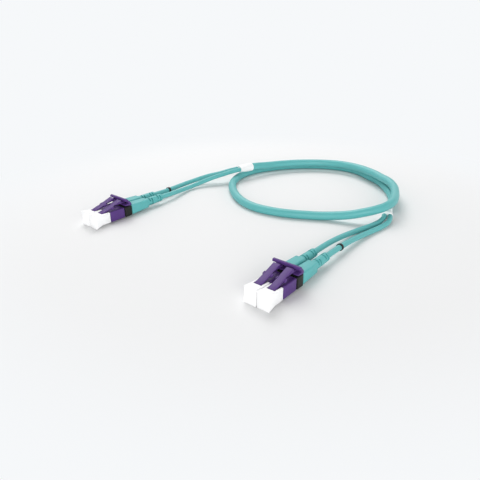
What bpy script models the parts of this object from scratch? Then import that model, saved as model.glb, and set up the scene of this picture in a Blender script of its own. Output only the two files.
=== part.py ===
"""Duplex fiber optic patch cord: two duplex plugs with dust caps, joined by one looped cable.

The cord lies on a floor at z = 0. Both plugs point to -Y, the cable loops behind them, and the
origin is on the floor midway between the plugs. Sizes are real ones, in metres.
"""
import math

import bmesh
import bpy
import numpy as np
from mathutils import Matrix, Vector

MM = 0.001

# Where the plugs lie: the middle of each one's front face, on the floor.
PLUG_X = 56.5 * MM
PLUG_FRONT_Y = {"a": -21.4 * MM, "b": -26.8 * MM}
PITCH = 6.25 * MM
AXIS_Z = 3.9 * MM
CLEAR = 0.3 * MM

# Connector, with every y counted backwards from the front face of the dust caps.
CAP_FACE_WIDTH = 5.85 * MM
CAP_REAR_WIDTH = 5.75 * MM
CAP_DECK_END = 4.6 * MM
CAP_END = 9.1 * MM
CAP_OUTLINE = [(0.0, 0.0), (3.7, 1.2), (9.1, 1.17), (9.1, 6.7), (4.6, 6.95), (0.0, 7.6)]
CAP_WALL = 1.0 * MM
CAP_POCKET = 4.72 * MM
CAP_SLOT_WIDTH = 3.9 * MM

NOSE_FRONT = 3.2 * MM
NOSE_WIDTH = 4.52 * MM
BODY_FRONT = 9.4 * MM
BODY_END = 18.4 * MM
BODY_WIDTH = 5.8 * MM
BODY_HEIGHT = 5.5 * MM
WELL_RADIUS = 1.3 * MM
SEAT_Y = 7.0 * MM
CHAMBER_RADIUS = 1.65 * MM
LATCH_GROOVE_DEPTH = 0.5 * MM

LATCH_PIVOT = (5.2 * MM, 6.6 * MM)
LATCH_WIDTH = 3.2 * MM
SHOULDER_WIDTH = 4.6 * MM
# Side outlines in millimetres: the arm, which steps down to a tongue under the trigger's bar.
LATCH_OUTLINE = [(4.9, 6.38), (4.9, 6.95), (8.0, 7.75), (11.2, 8.5), (14.0, 9.5), (16.0, 10.15),
                 (17.6, 10.65), (17.8, 10.5), (17.8, 9.55), (19.8, 9.5), (19.95, 9.2), (19.8, 8.95),
                 (16.6, 9.0), (14.0, 8.85), (11.2, 7.85), (8.0, 7.1), (6.6, 6.72), (6.0, 6.38)]
SHOULDER_OUTLINE = [(11.0, 7.55), (11.0, 8.35), (12.3, 8.8), (12.3, 7.95)]

FERRULE_RADIUS = 0.625 * MM
FERRULE_TIP = 1.6 * MM
FERRULE_END = 8.9 * MM
FLANGE_RADIUS = 1.475 * MM
FLANGE_END = 12.2 * MM
FIBER_RADIUS = 0.45 * MM
FIBER_Y = (9.2 * MM, 24.0 * MM)
SPRING_Y = (9.0 * MM, 14.1 * MM)
SPRING_RADIUS = 1.25 * MM
SPRING_WIRE = 0.35 * MM
SPRING_CURLS = 6

INSERT_FRONT = 14.2 * MM
INSERT_END = 25.2 * MM
INSERT_FLANGE = (18.7 * MM, 20.3 * MM)
CRIMP_Y = (20.6 * MM, 28.0 * MM)
CRIMP_RADIUS = 1.85 * MM
CRIMP_BORE = 1.475 * MM

# Duplex clip and its trigger.
CLIP_Y = (18.7 * MM, 23.3 * MM)
CLIP_WIDTH = 12.45 * MM
CLIP_Z = (1.05 * MM, 6.65 * MM)
CLIP_BORE = 2.5 * MM
TRIGGER_PIVOT = (22.4 * MM, 7.6 * MM)
TRIGGER_PIN_RADIUS = 0.45 * MM
TRIGGER_WIDTH = 12.3 * MM
BAR_WIDTH = 12.9 * MM
BAR_OUTLINE = [(19.1, 9.9), (19.1, 10.8), (19.4, 11.05), (20.3, 11.05), (20.8, 10.65), (20.3, 9.9)]
WEB_OUTLINE = [(19.1, 9.9), (19.1, 10.8), (19.4, 11.05), (20.3, 11.05), (20.9, 10.6), (23.1, 8.2),
               (23.2, 7.4), (22.9, 6.95), (22.0, 6.95), (19.0, 7.4), (19.0, 7.8), (21.5, 8.1),
               (20.3, 9.9)]
KNUCKLE_X = 3.0 * MM
KNUCKLE_WIDTH = 1.2 * MM
KNUCKLE_RADIUS = 0.8 * MM

# Boot.
BOOT_Y = (23.6 * MM, 35.8 * MM)
BOOT_END = 48.2 * MM
BOOT_FRONT_SIZE = 5.8 * MM
BOOT_STEP_SIZE = 5.0 * MM
BOOT_BORE = 1.5 * MM
BOOT_GROOVES = (38.2 * MM, 45.0 * MM, 46.8 * MM)

# Cable.
LEG_DIAMETER = 2.7 * MM
TRUNK_DIAMETER = 4.7 * MM
LEG_START = 25.5 * MM
SLEEVE_LENGTH = 10.5 * MM
SLEEVE_DIAMETER = 5.3 * MM
SLEEVE_FLAT = 0.8
RING_Y = 59.5 * MM
RING_LENGTH = 1.4 * MM
RING_BORE = 1.5 * MM
RING_RADIUS = 1.85 * MM

# Splitter sleeves: the middle of the end that the legs meet, and the way from there to the trunk.
SLEEVES = {
    "a": {"end": (-45.61, 88.65, 7.64), "way": (0.258, 0.966, -0.026)},
    "b": {"end": (60.2, 84.8, 2.65), "way": (-0.38, 0.925, 0.0)},
}

# Routes, in millimetres, chosen along the cable as it lies. A leg starts inside its boot.
LEG_ROUTES = {
    "a_leg_1": [(-59.625, 4.1, 3.9), (-59.625, 14.2, 3.9), (-59.625, 27.4, 3.9), (-60, 35.2, 3.5),
                (-61.3, 45.3, 3.05), (-62.4, 55.2, 2.75), (-61.2, 64.0, 3.35),
                (-57.1, 71.4, 4.95), (-52.02, 77.19, 6.36), (-49, 82.64, 7.41),
                (-47.14, 88.75, 7.64)],
    "a_leg_2": [(-53.375, 4.1, 3.9), (-53.375, 14.2, 3.9), (-53.375, 27.4, 3.9), (-53.8, 35.2, 3.5),
                (-55.93, 45.7, 2.45), (-56.9, 54.81, 2.09), (-55.56, 62.73, 3.09),
                (-52.2, 70, 4.96), (-48.49, 76.49, 6.46), (-45.95, 81.86, 7.42),
                (-44.24, 87.97, 7.64)],
    "b_leg_1": [(53.375, -1.3, 3.9), (53.375, 9.2, 3.9), (53.375, 21.6, 3.9), (53.4, 28.7, 3.75),
                (53.5, 37.2, 3.3), (54.0, 46.2, 2.6), (55.1, 55.2, 1.9), (56.9, 64.2, 1.45),
                (58.6, 71.5, 1.4), (59.7, 77.2, 1.8), (59.7, 81.2, 2.4), (58.97, 83.97, 2.65)],
    "b_leg_2": [(59.625, -1.3, 3.9), (59.625, 9.2, 3.9), (59.625, 21.6, 3.9), (59.6, 28.7, 3.75),
                (59.6, 37.2, 3.3), (59.8, 46.2, 2.6), (60.5, 55.2, 1.9), (61.7, 64.2, 1.45),
                (63.0, 72.2, 1.4), (63.5, 78.4, 1.8), (62.8, 82.2, 2.4), (61.65, 85.07, 2.65)],
}
TRUNK_ROUTE = [
    (-42.82, 99.08, 7.35), (-41.7, 103.65, 6.96), (-39.71, 110.18, 6.3), (-36.84, 116.95, 5.9),
    (-32.99, 123.46, 5.75), (-28.19, 129.64, 5.69), (-22.68, 135.28, 5.64),
    (-16.6, 140.13, 5.63), (-10.05, 143.85, 5.74), (-2.48, 146.1, 6.01), (5.71, 146.2, 6.34),
    (14.24, 143.99, 6.74), (22.56, 139.94, 7.18), (30.11, 135.19, 7.52), (36.44, 130.77, 7.58),
    (42.02, 126.46, 7.85), (46.6, 121.68, 7.86), (50.47, 116.09, 7.8), (53.32, 110.29, 7.71),
    (55.88, 104.21, 7.79), (57.98, 97.98, 7.98), (59.4, 92.1, 8.15), (59.6, 86.5, 8.2),
    (58.6, 80.9, 8), (56, 76, 7.4), (52.3, 72.3, 6.4), (46, 68.7, 4.6), (38.7, 65.7, 3.2),
    (31.6, 62.2, 2.4), (25, 58.5, 2.36), (18.1, 55, 2.36), (10.9, 52.4, 2.36), (3.7, 50.9, 2.36),
    (-4.2, 50.7, 2.36), (-12.2, 52.6, 2.36), (-20, 56.5, 2.36), (-28, 62.3, 2.36),
    (-34.9, 68.9, 2.36), (-40, 75.3, 2.36), (-43.4, 81.8, 2.36), (-45.6, 88.6, 2.36),
    (-46.7, 96.5, 2.36), (-46.2, 105.1, 2.36), (-43.9, 113, 2.36), (-40.4, 120.2, 2.36),
    (-36.2, 127, 2.36), (-31.3, 133.2, 2.36), (-26, 138.5, 2.36), (-20.1, 143.3, 2.36),
    (-13.3, 147.5, 2.36), (-5.6, 150.4, 2.36), (2.3, 151.5, 2.36), (9.8, 150.2, 2.36),
    (16.6, 147.3, 2.36), (22.6, 143.6, 2.36), (29.3, 139.8, 2.36), (35.6, 134.4, 2.36),
    (41.4, 127.9, 2.36), (46.6, 120.8, 2.36), (51.1, 113.2, 2.36), (53.5, 106.3, 2.36),
    (54.7, 100.0, 2.45), (56.1, 94.79, 2.65),
]

# Materials: colour, roughness, metallic.
FINISHES = {
    "white_cap": ((0.93, 0.93, 0.92), 0.45, 0.0),
    "purple_plastic": ((0.115, 0.07, 0.25), 0.4, 0.0),
    "black_plastic": ((0.015, 0.015, 0.015), 0.45, 0.0),
    "aqua_boot": ((0.09, 0.46, 0.46), 0.5, 0.0),
    "aqua_jacket": ((0.10, 0.47, 0.46), 0.42, 0.0),
    "white_sleeve": ((0.9, 0.9, 0.9), 0.5, 0.0),
    "zirconia": ((0.9, 0.88, 0.84), 0.15, 0.0),
    "nickel": ((0.7, 0.69, 0.66), 0.3, 1.0),
    "spring_steel": ((0.6, 0.6, 0.6), 0.3, 1.0),
    "fiber_buffer": ((0.85, 0.85, 0.8), 0.5, 0.0),
}

ROUND_STEPS = 16
SMALL_STEPS = 12


# ---------------------------------------------------------------- tools

def start_scene():
    """Empty the file and make the two collections."""
    for obj in list(bpy.data.objects):
        bpy.data.objects.remove(obj, do_unlink=True)
    parts = bpy.data.collections.new("fiber_patch_cord")
    tools = bpy.data.collections.new("cutters")
    bpy.context.scene.collection.children.link(parts)
    bpy.context.scene.collection.children.link(tools)
    return parts, tools


def make_material(name):
    """One Principled material from FINISHES."""
    colour, roughness, metallic = FINISHES[name]
    material = bpy.data.materials.new(name)
    material.use_nodes = True
    shader = material.node_tree.nodes["Principled BSDF"]
    shader.inputs["Base Color"].default_value = (*colour, 1.0)
    shader.inputs["Roughness"].default_value = roughness
    shader.inputs["Metallic"].default_value = metallic
    material.diffuse_color = (*colour, 1.0)
    return material


def temporary(name, data):
    """An object among the cutters, from a mesh or a curve."""
    obj = bpy.data.objects.new(name, data)
    CUTTERS.objects.link(obj)
    obj.hide_render = True
    obj.display_type = "WIRE"
    return obj


def bake(obj):
    """The evaluated mesh of a temporary object, in the frame that the object stands in."""
    bpy.context.view_layer.update()
    evaluated = obj.evaluated_get(bpy.context.evaluated_depsgraph_get())
    mesh = bpy.data.meshes.new_from_object(evaluated)
    mesh.transform(obj.matrix_world)
    bpy.data.objects.remove(obj, do_unlink=True)
    bm = bmesh.new()
    bm.from_mesh(mesh)
    bmesh.ops.remove_doubles(bm, verts=bm.verts, dist=0.001 * MM)
    bm.to_mesh(mesh)
    bm.free()
    return mesh


def block(x_range, y_range, z_range):
    """A box mesh between three pairs of limits."""
    size = [high - low for low, high in (x_range, y_range, z_range)]
    centre = [(high + low) / 2 for low, high in (x_range, y_range, z_range)]
    bm = bmesh.new()
    bmesh.ops.create_cube(bm, size=1.0)
    bmesh.ops.scale(bm, vec=size, verts=bm.verts)
    bmesh.ops.translate(bm, vec=centre, verts=bm.verts)
    mesh = bpy.data.meshes.new("block")
    bm.to_mesh(mesh)
    bm.free()
    return mesh


def side_plate(outline, width, centre_x=0.0):
    """A flat plate from a side outline of (y, z) points in millimetres, width wide across x."""
    curve = bpy.data.curves.new("outline", "CURVE")
    curve.dimensions = "2D"
    curve.fill_mode = "BOTH"
    curve.extrude = width / 2
    spline = curve.splines.new("POLY")
    spline.points.add(len(outline) - 1)
    for point, (y, z) in zip(spline.points, outline):
        point.co = (y * MM, z * MM, 0.0, 1.0)
    spline.use_cyclic_u = True
    obj = temporary("outline", curve)
    # The curve's own x, y and z become the part's y, z and x.
    obj.matrix_world = Matrix.Translation((centre_x, 0, 0)) @ Matrix(
        ((0, 0, 1, 0), (1, 0, 0, 0), (0, 1, 0, 0), (0, 0, 0, 1)))
    return bake(obj)


def turned(outline, steps, z=0.0):
    """A piece turned about the Y axis from (radius, y) points.

    The points run down the outside from rear to front. A bored piece goes back up its bore and
    closes; a solid one starts and ends on the axis.
    """
    mesh = bpy.data.meshes.new("profile")
    closed = outline[0][0] > 0
    count = len(outline)
    edges = [(i, i + 1) for i in range(count - 1)]
    if closed:
        edges.append((count - 1, 0))
    mesh.from_pydata([(radius, 0.0, y) for radius, y in outline], edges, [])
    obj = temporary("profile", mesh)
    screw = obj.modifiers.new("turn", "SCREW")
    screw.steps = steps
    screw.render_steps = steps
    screw.use_merge_vertices = True
    screw.merge_threshold = 0.001 * MM
    obj.matrix_world = Matrix.Translation((0, 0, z)) @ Matrix.Rotation(math.radians(-90), 4, "X")
    return bake(obj)


def rod(radius, x_range, y, z, steps):
    """A round bar along x."""
    bm = bmesh.new()
    bmesh.ops.create_cone(bm, cap_ends=True, segments=steps, radius1=radius, radius2=radius,
                          depth=x_range[1] - x_range[0])
    bmesh.ops.rotate(bm, verts=bm.verts, matrix=Matrix.Rotation(math.radians(90), 3, "Y"))
    bmesh.ops.translate(bm, verts=bm.verts, vec=(sum(x_range) / 2, y, z))
    mesh = bpy.data.meshes.new("rod")
    bm.to_mesh(mesh)
    bm.free()
    return mesh


def bevelled(mesh, width, segments, limit=math.radians(40)):
    """The mesh with its edges sharper than limit rounded off."""
    obj = temporary("bevelled", mesh)
    bevel = obj.modifiers.new("edges", "BEVEL")
    bevel.width = width
    bevel.segments = segments
    bevel.angle_limit = limit
    return bake(obj)


def combined(mesh, others, operation):
    """The mesh joined with the others (UNION) or cut by them (DIFFERENCE)."""
    obj = temporary("base", mesh)
    tools = [temporary("tool", other) for other in others]
    for tool in tools:
        step = obj.modifiers.new("step", "BOOLEAN")
        step.operation = operation
        step.solver = "EXACT"
        step.object = tool
    result = bake(obj)
    for tool in tools:
        bpy.data.objects.remove(tool, do_unlink=True)
    return result


def moved(mesh, offset):
    """The mesh shifted by an offset."""
    mesh.transform(Matrix.Translation(offset))
    return mesh


def place(name, mesh, finish, location, parent=None):
    """One sub-part: its own object, with its own material, in the part's collection."""
    obj = bpy.data.objects.new(name, mesh)
    PARTS.objects.link(obj)
    obj.location = location
    obj.parent = parent
    if not mesh.materials:
        mesh.materials.append(MATERIALS[finish])
        mesh.shade_smooth()
        mesh.set_sharp_from_angle(angle=math.radians(35))
    return obj


def smooth_route(points, spacing):
    """Even points along a smooth curve through a route's own points, and the curve's length."""
    knots = np.array(points, dtype=float) * MM
    gaps = np.linalg.norm(np.diff(knots, axis=0), axis=1)
    along = np.concatenate([[0.0], np.cumsum(gaps)])
    slopes = np.gradient(knots, along, axis=0)
    fine = []
    for i, gap in enumerate(gaps):
        t = np.linspace(0.0, 1.0, 40, endpoint=False)[:, None]
        fine.append((2 * t**3 - 3 * t**2 + 1) * knots[i] + (t**3 - 2 * t**2 + t) * gap * slopes[i]
                    + (3 * t**2 - 2 * t**3) * knots[i + 1] + (t**3 - t**2) * gap * slopes[i + 1])
    fine = np.concatenate(fine + [knots[-1:]])
    run = np.concatenate([[0.0], np.cumsum(np.linalg.norm(np.diff(fine, axis=0), axis=1))])
    stops = np.linspace(0.0, run[-1], round(run[-1] / spacing) + 1)
    even = np.stack([np.interp(stops, run, fine[:, axis]) for axis in range(3)], axis=1)
    return even, run[-1]


def tube(points, diameter, resolution):
    """A round tube through the points, with closed ends."""
    curve = bpy.data.curves.new("tube", "CURVE")
    curve.dimensions = "3D"
    curve.bevel_depth = diameter / 2
    curve.bevel_resolution = resolution
    curve.use_fill_caps = True
    spline = curve.splines.new("POLY")
    spline.points.add(len(points) - 1)
    for point, place_at in zip(spline.points, points):
        point.co = (*place_at, 1.0)
    return bake(temporary("tube", curve))


def least_gap(points, diameter):
    """The least gap between strands of one tube, leaving out each spot's own stretch of it."""
    reach = 4 * diameter
    parts = np.linspace(0.0, 1.0, 8, endpoint=False)[:, None]
    points = np.concatenate([a + (b - a) * parts for a, b in zip(points[:-1], points[1:])])
    run = np.concatenate([[0.0], np.cumsum(np.linalg.norm(np.diff(points, axis=0), axis=1))])
    apart = np.linalg.norm(points[:, None] - points[None, :], axis=2)
    far = np.abs(run[:, None] - run[None, :]) > reach
    return apart[far].min() - diameter


# ---------------------------------------------------------------- pieces of one connector

def dust_cap():
    """A square cap over the nose, flared at its front, with a slot on top for the latch arm."""
    shell = side_plate(CAP_OUTLINE, CAP_FACE_WIDTH)
    for vertex in shell.vertices:
        narrowing = 1 - (1 - CAP_REAR_WIDTH / CAP_FACE_WIDTH) * vertex.co.y / CAP_END
        vertex.co.x *= narrowing
    shell = bevelled(shell, 0.2 * MM, 1)
    half = CAP_POCKET / 2
    pocket = block((-half, half), (CAP_WALL, CAP_END + 1 * MM), (AXIS_Z - half, AXIS_Z + half))
    slot = block((-CAP_SLOT_WIDTH / 2, CAP_SLOT_WIDTH / 2), (CAP_DECK_END, CAP_END + 1 * MM),
                 (AXIS_Z, 2 * AXIS_Z))
    return combined(shell, [pocket, slot], "DIFFERENCE")


def housing():
    """The square nose and the wider body behind it, bored for the ferrule and its spring."""
    half_nose = NOSE_WIDTH / 2
    half_body = BODY_WIDTH / 2
    nose = block((-half_nose, half_nose), (NOSE_FRONT, BODY_FRONT + 1 * MM),
                 (AXIS_Z - half_nose, AXIS_Z + half_nose))
    nose = bevelled(nose, 0.25 * MM, 1)
    body_top = AXIS_Z + BODY_HEIGHT / 2
    body = block((-half_body, half_body), (BODY_FRONT, BODY_END),
                 (AXIS_Z - BODY_HEIGHT / 2, body_top))
    body = bevelled(body, 0.3 * MM, 1)
    solid = combined(body, [nose], "UNION")
    bore = turned([(0.0, BODY_END + 1 * MM), (CHAMBER_RADIUS, BODY_END + 1 * MM),
                   (CHAMBER_RADIUS, SEAT_Y), (WELL_RADIUS, SEAT_Y),
                   (WELL_RADIUS, NOSE_FRONT - 1 * MM), (0.0, NOSE_FRONT - 1 * MM)],
                  ROUND_STEPS, AXIS_Z)
    groove = block((-CAP_SLOT_WIDTH / 2, CAP_SLOT_WIDTH / 2), (BODY_FRONT - 1 * MM, BODY_END + 1 * MM),
                   (body_top - LATCH_GROOVE_DEPTH, body_top + 1 * MM))
    return combined(solid, [bore, groove], "DIFFERENCE")


def latch_arm():
    """The sprung arm over the nose, with the two shoulders that catch in an adapter."""
    arm = side_plate(LATCH_OUTLINE, LATCH_WIDTH)
    shoulders = side_plate(SHOULDER_OUTLINE, SHOULDER_WIDTH)
    mesh = combined(arm, [shoulders], "UNION")
    return moved(mesh, (0, -LATCH_PIVOT[0], -LATCH_PIVOT[1]))


def ferrule():
    """The zirconia ferrule, with its bevelled tip."""
    tip = 0.3 * MM
    return turned([(0.0, FERRULE_END), (FERRULE_RADIUS, FERRULE_END),
                   (FERRULE_RADIUS, FERRULE_TIP + tip), (FERRULE_RADIUS - 0.15 * MM, FERRULE_TIP),
                   (0.0, FERRULE_TIP)], SMALL_STEPS)


def ferrule_flange():
    """The flanged holder that the spring pushes against its seat."""
    tail = 0.95 * MM
    bore = 0.675 * MM
    buffer_bore = 0.55 * MM
    step = FERRULE_END + 0.1 * MM
    return turned([(tail, FLANGE_END), (tail, FERRULE_END), (FLANGE_RADIUS, FERRULE_END),
                   (FLANGE_RADIUS, SEAT_Y + 0.05 * MM), (bore, SEAT_Y + 0.05 * MM), (bore, step),
                   (buffer_bore, step), (buffer_bore, FLANGE_END)], SMALL_STEPS)


def buffered_fiber():
    """The coated fiber behind the ferrule, as far as the cable's jacket."""
    front, rear = FIBER_Y
    return turned([(0.0, rear), (FIBER_RADIUS, rear), (FIBER_RADIUS, front), (0.0, front)], 8)


def ferrule_spring():
    """The coil spring between the flange and the crimp body."""
    points_per_curl = 9
    count = SPRING_CURLS * points_per_curl
    front = SPRING_Y[0] + SPRING_WIRE / 2 + 0.05 * MM
    rear = SPRING_Y[1] - SPRING_WIRE / 2 - 0.05 * MM
    points = []
    for i in range(count + 1):
        turn = 2 * math.pi * i / points_per_curl
        points.append((SPRING_RADIUS * math.cos(turn), front + (rear - front) * i / count,
                       SPRING_RADIUS * math.sin(turn)))
    return tube(points, SPRING_WIRE, 1)


def crimp_body():
    """The bored insert that closes the housing, with its neck for the crimp sleeve."""
    plug = 1.6 * MM
    neck = 1.35 * MM
    flange = 2.3 * MM
    bore = 0.65 * MM
    return turned([(neck, INSERT_END), (neck, INSERT_FLANGE[1]), (flange, INSERT_FLANGE[1]),
                   (flange, INSERT_FLANGE[0]), (plug, INSERT_FLANGE[0]), (plug, INSERT_FRONT),
                   (bore, INSERT_FRONT), (bore, INSERT_END)], ROUND_STEPS)


def crimp_sleeve():
    """The metal sleeve over the neck and the end of the leg's jacket."""
    front, rear = CRIMP_Y
    return turned([(CRIMP_RADIUS, rear), (CRIMP_RADIUS, front), (CRIMP_BORE, front),
                   (CRIMP_BORE, rear)], ROUND_STEPS)


def boot():
    """The strain relief: a tapering square front, a step, and a round grooved tail."""
    front, step = BOOT_Y
    half = BOOT_FRONT_SIZE / 2
    front_part = block((-half, half), (front, step), (-half, half))
    for vertex in front_part.vertices:
        if vertex.co.y > (front + step) / 2:
            vertex.co.x *= BOOT_STEP_SIZE / BOOT_FRONT_SIZE
            vertex.co.z *= BOOT_STEP_SIZE / BOOT_FRONT_SIZE
    front_part = bevelled(front_part, 0.8 * MM, 2)

    thick = 2.3 * MM
    thin = 2.05 * MM
    groove = 0.4 * MM
    width = 0.8 * MM
    start = step - 1.5 * MM
    outline = [(0.0, BOOT_END), (thin - 0.25 * MM, BOOT_END), (thin, BOOT_END - 0.3 * MM)]
    for middle in reversed(BOOT_GROOVES):
        radius = thick + (thin - thick) * (middle - step) / (BOOT_END - step)
        outline += [(radius, middle + width / 2), (radius - groove, middle + width / 2),
                    (radius - groove, middle - width / 2), (radius, middle - width / 2)]
    outline += [(thick, start), (0.0, start)]
    tail = turned(outline, ROUND_STEPS)
    solid = combined(front_part, [tail], "UNION")

    cavity = 2.0 * MM
    cavity_end = CRIMP_Y[1] + 1.0 * MM
    bore = turned([(0.0, BOOT_END + 1 * MM), (BOOT_BORE, BOOT_END + 1 * MM),
                   (BOOT_BORE, cavity_end), (cavity, cavity_end), (cavity, front - 1 * MM),
                   (0.0, front - 1 * MM)], ROUND_STEPS)
    return combined(solid, [bore], "DIFFERENCE")


# ---------------------------------------------------------------- pieces of one plug

def duplex_clip():
    """The black clip that holds two connectors, with two knuckles for the trigger's pin."""
    half = CLIP_WIDTH / 2
    solid = bevelled(block((-half, half), CLIP_Y, CLIP_Z), 0.5 * MM, 2)
    pivot_y, pivot_z = TRIGGER_PIVOT
    arc = [(KNUCKLE_RADIUS * math.cos(a), KNUCKLE_RADIUS * math.sin(a))
           for a in np.linspace(0.0, math.pi, 7)]
    outline = [((pivot_y + y) / MM, (pivot_z + z) / MM) for y, z in arc]
    outline += [(outline[-1][0], 5.9), (outline[0][0], 5.9)]
    knuckles = [side_plate(outline, KNUCKLE_WIDTH, side * KNUCKLE_X) for side in (-1, 1)]
    solid = combined(solid, knuckles, "UNION")
    bores = []
    for side in (-1, 1):
        bore = turned([(0.0, CLIP_Y[1] + 1 * MM), (CLIP_BORE, CLIP_Y[1] + 1 * MM),
                       (CLIP_BORE, CLIP_Y[0] - 1 * MM), (0.0, CLIP_Y[0] - 1 * MM)],
                      ROUND_STEPS, AXIS_Z)
        bores.append(moved(bore, (side * PITCH / 2, 0, 0)))
    pin_hole = rod(TRIGGER_PIN_RADIUS + 0.1 * MM, (-BAR_WIDTH, BAR_WIDTH), pivot_y, pivot_z,
                   SMALL_STEPS)
    return combined(solid, bores + [pin_hole], "DIFFERENCE")


def trigger():
    """The bar over both latch arms, on a sloping web that turns on a pin in the clip's knuckles."""
    pivot_y, pivot_z = TRIGGER_PIVOT
    reach = KNUCKLE_WIDTH / 2 + 0.2 * MM
    notches = [block((side * KNUCKLE_X - reach, side * KNUCKLE_X + reach),
                     (pivot_y - 1.2 * MM, pivot_y + 1.2 * MM), (pivot_z - 2 * MM, pivot_z + 1.1 * MM))
               for side in (-1, 1)]
    web = combined(side_plate(WEB_OUTLINE, TRIGGER_WIDTH), notches, "DIFFERENCE")
    inside = TRIGGER_WIDTH / 2 - 0.2 * MM
    pin = rod(TRIGGER_PIN_RADIUS, (-inside, inside), pivot_y, pivot_z, SMALL_STEPS)
    solid = combined(web, [side_plate(BAR_OUTLINE, BAR_WIDTH), pin], "UNION")
    return moved(solid, (0, -pivot_y, -pivot_z))


def splitter_sleeve():
    """The white sleeve where two legs meet the trunk, pressed flatter over the legs."""
    radius = SLEEVE_DIAMETER / 2
    rim = 0.35 * MM
    mesh = turned([(0.0, SLEEVE_LENGTH), (radius - rim, SLEEVE_LENGTH),
                   (radius, SLEEVE_LENGTH - rim), (radius, SLEEVE_LENGTH / 2), (radius, rim),
                   (radius - rim, 0.0), (0.0, 0.0)], ROUND_STEPS)
    for vertex in mesh.vertices:
        pressed = max(0.0, 1 - 2 * vertex.co.y / SLEEVE_LENGTH)
        vertex.co.z *= 1 - (1 - SLEEVE_FLAT) * pressed
        vertex.co.x *= 1 + 0.09 * pressed
    return mesh


def marker_ring():
    """The black ring that marks one leg, the same one at both plugs."""
    half = RING_LENGTH / 2
    return turned([(RING_RADIUS, half), (RING_RADIUS, -half), (RING_BORE, -half),
                   (RING_BORE, half)], ROUND_STEPS)


# ---------------------------------------------------------------- assembly

def build_connectors(plugs):
    """Four connectors, two to a plug. Pieces alike share one mesh."""
    axis = (0.0, 0.0, AXIS_Z)
    pieces = [
        ("dust_cap", dust_cap(), "white_cap", (0.0, 0.0, 0.0)),
        ("housing", housing(), "purple_plastic", (0.0, 0.0, 0.0)),
        ("latch", latch_arm(), "purple_plastic", (0.0, *LATCH_PIVOT)),
        ("ferrule", ferrule(), "zirconia", axis),
        ("ferrule_flange", ferrule_flange(), "nickel", axis),
        ("fiber", buffered_fiber(), "fiber_buffer", axis),
        ("spring", ferrule_spring(), "spring_steel", axis),
        ("crimp_body", crimp_body(), "nickel", axis),
        ("crimp_sleeve", crimp_sleeve(), "nickel", axis),
        ("boot", boot(), "aqua_boot", axis),
    ]
    for plug, empty in plugs.items():
        for number, side in ((1, -1), (2, 1)):
            for name, mesh, finish, spot in pieces:
                location = (side * PITCH / 2 + spot[0], spot[1], spot[2])
                place(f"{plug}{number}_{name}", mesh, finish, location, empty)


def build_plugs():
    """The two plugs, each on an empty at the middle of its front face."""
    plugs = {}
    for plug, side in (("a", -1), ("b", 1)):
        empty = bpy.data.objects.new(f"plug_{plug}", None)
        PARTS.objects.link(empty)
        empty.location = (side * PLUG_X, PLUG_FRONT_Y[plug], 0.0)
        plugs[plug] = empty
    build_connectors(plugs)
    clip = duplex_clip()
    lever = trigger()
    for plug, empty in plugs.items():
        place(f"{plug}_duplex_clip", clip, "black_plastic", (0, 0, 0), empty)
        place(f"{plug}_trigger", lever, "purple_plastic", (0, *TRIGGER_PIVOT), empty)


def build_cable():
    """The trunk, the four legs, and what is on them."""
    sleeve = splitter_sleeve()
    for plug, data in SLEEVES.items():
        obj = place(f"{plug}_splitter_sleeve", sleeve, "white_sleeve", Vector(data["end"]) * MM)
        obj.rotation_mode = "QUATERNION"
        obj.rotation_quaternion = Vector(data["way"]).to_track_quat("Y", "Z")

    ring = marker_ring()
    ringed = {"a_leg_1": "a", "b_leg_2": "b"}
    for name, route in LEG_ROUTES.items():
        points, length = smooth_route(route, 2.4 * LEG_DIAMETER)
        place(name, tube(points, LEG_DIAMETER, 2), "aqua_jacket", (0, 0, 0))
        print(f"{name}: {length / MM:.1f} mm long")
        if name in ringed:
            plug = ringed[name]
            fine, _ = smooth_route(route, 0.5 * MM)
            at = int(np.argmin(np.abs(fine[:, 1] - (PLUG_FRONT_Y[plug] + RING_Y))))
            obj = place(f"{plug}_marker_ring", ring, "black_plastic", fine[at])
            obj.rotation_mode = "QUATERNION"
            obj.rotation_quaternion = Vector(fine[at + 1] - fine[at - 1]).to_track_quat("Y", "Z")

    points, length = smooth_route(TRUNK_ROUTE, 1.5 * TRUNK_DIAMETER)
    place("trunk_cable", tube(points, TRUNK_DIAMETER, 4), "aqua_jacket", (0, 0, 0))
    print(f"trunk_cable: {length / MM:.1f} mm long")
    print(f"least gap between its strands: {least_gap(points, TRUNK_DIAMETER) / MM:.2f} mm")


PARTS, CUTTERS = start_scene()
MATERIALS = {name: make_material(name) for name in FINISHES}
build_plugs()
build_cable()
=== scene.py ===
"""A duplex fiber optic patch cord lying on a pale studio floor.

The pieces come in the order in which the cord is put together: the ferrule and its crimp, the
housing, the spring, the latch arm, the cable with its sleeves and marker rings, the boots, the
clip, its trigger, the dust caps, and last the studio. Pieces are drawn in millimetres.
"""
import math

import bmesh
import bpy
import numpy as np
from mathutils import Matrix, Vector


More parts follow.
